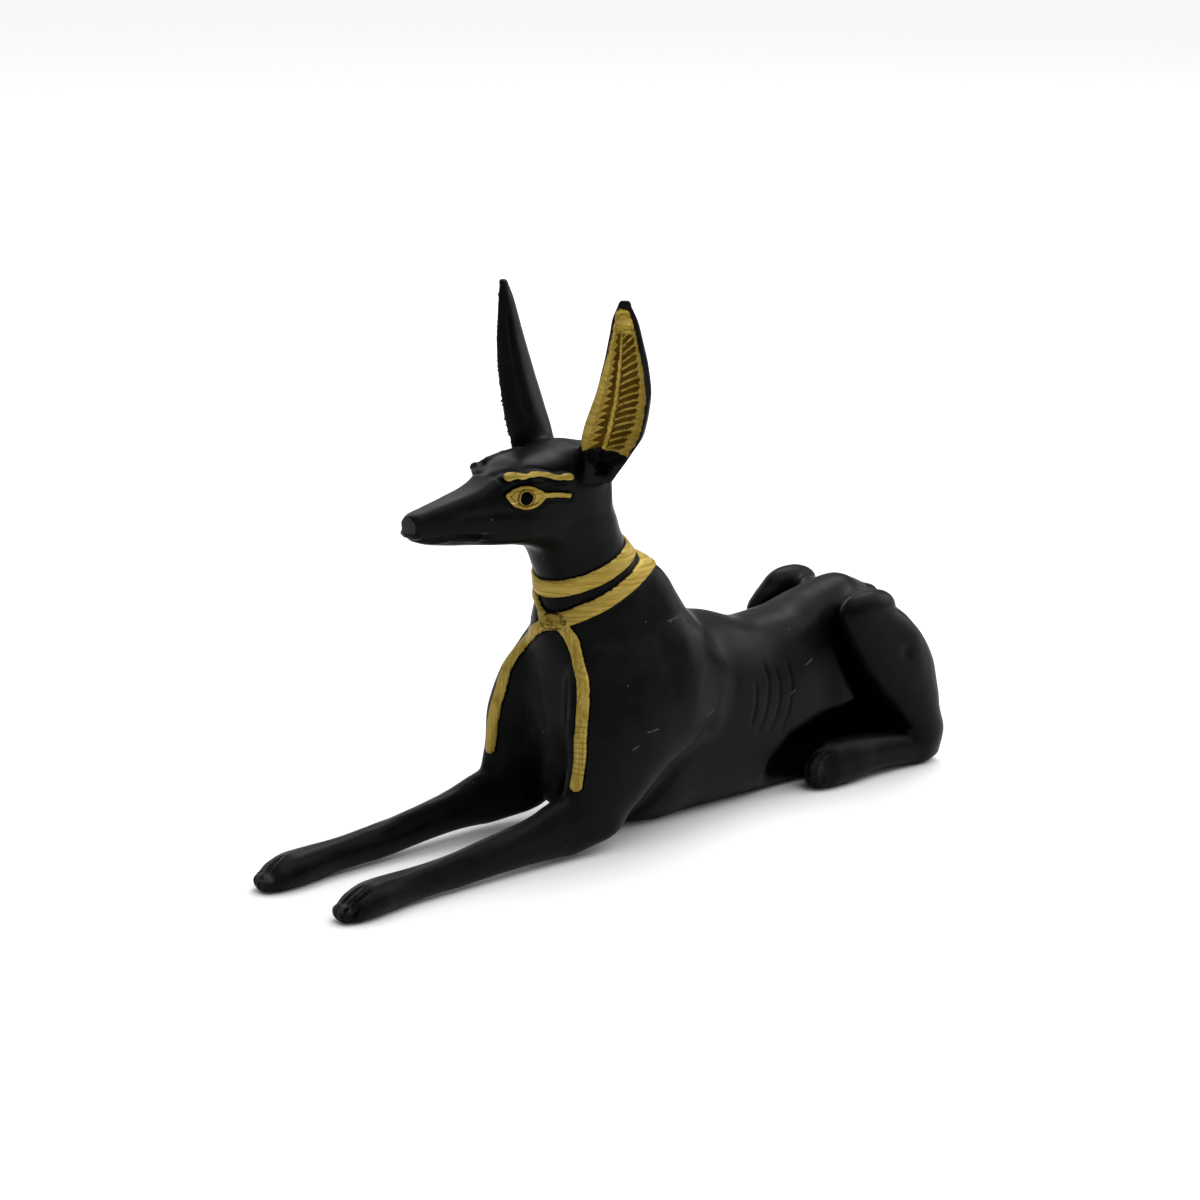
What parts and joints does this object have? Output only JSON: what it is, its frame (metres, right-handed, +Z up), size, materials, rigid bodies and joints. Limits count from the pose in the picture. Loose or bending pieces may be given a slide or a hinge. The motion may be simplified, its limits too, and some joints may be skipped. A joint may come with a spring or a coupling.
{
  "type": "anubis jackal figure",
  "caption": "Recumbent jackal figurine, solid cast resin in satin black, with tall gold-lined ears, painted eyes, a gold collar and two gold ribbons on the chest.",
  "frame": {"origin": "centre of the footprint's bounding box, on the surface that the figure rests on", "axes": "+Z up, the jackal faces -Y, its left side is towards +X"},
  "size_m": [0.0486, 0.2, 0.1351],
  "materials": {
    "painted_resin": "satin black paint over cast resin, hand-painted gold on ears, eyes, brows, collar and ribbons, worn grey at nose and toes"
  },
  "bodies": {
    "root": {"anubis_jackal": "painted_resin"}
  },
  "joints": []
}
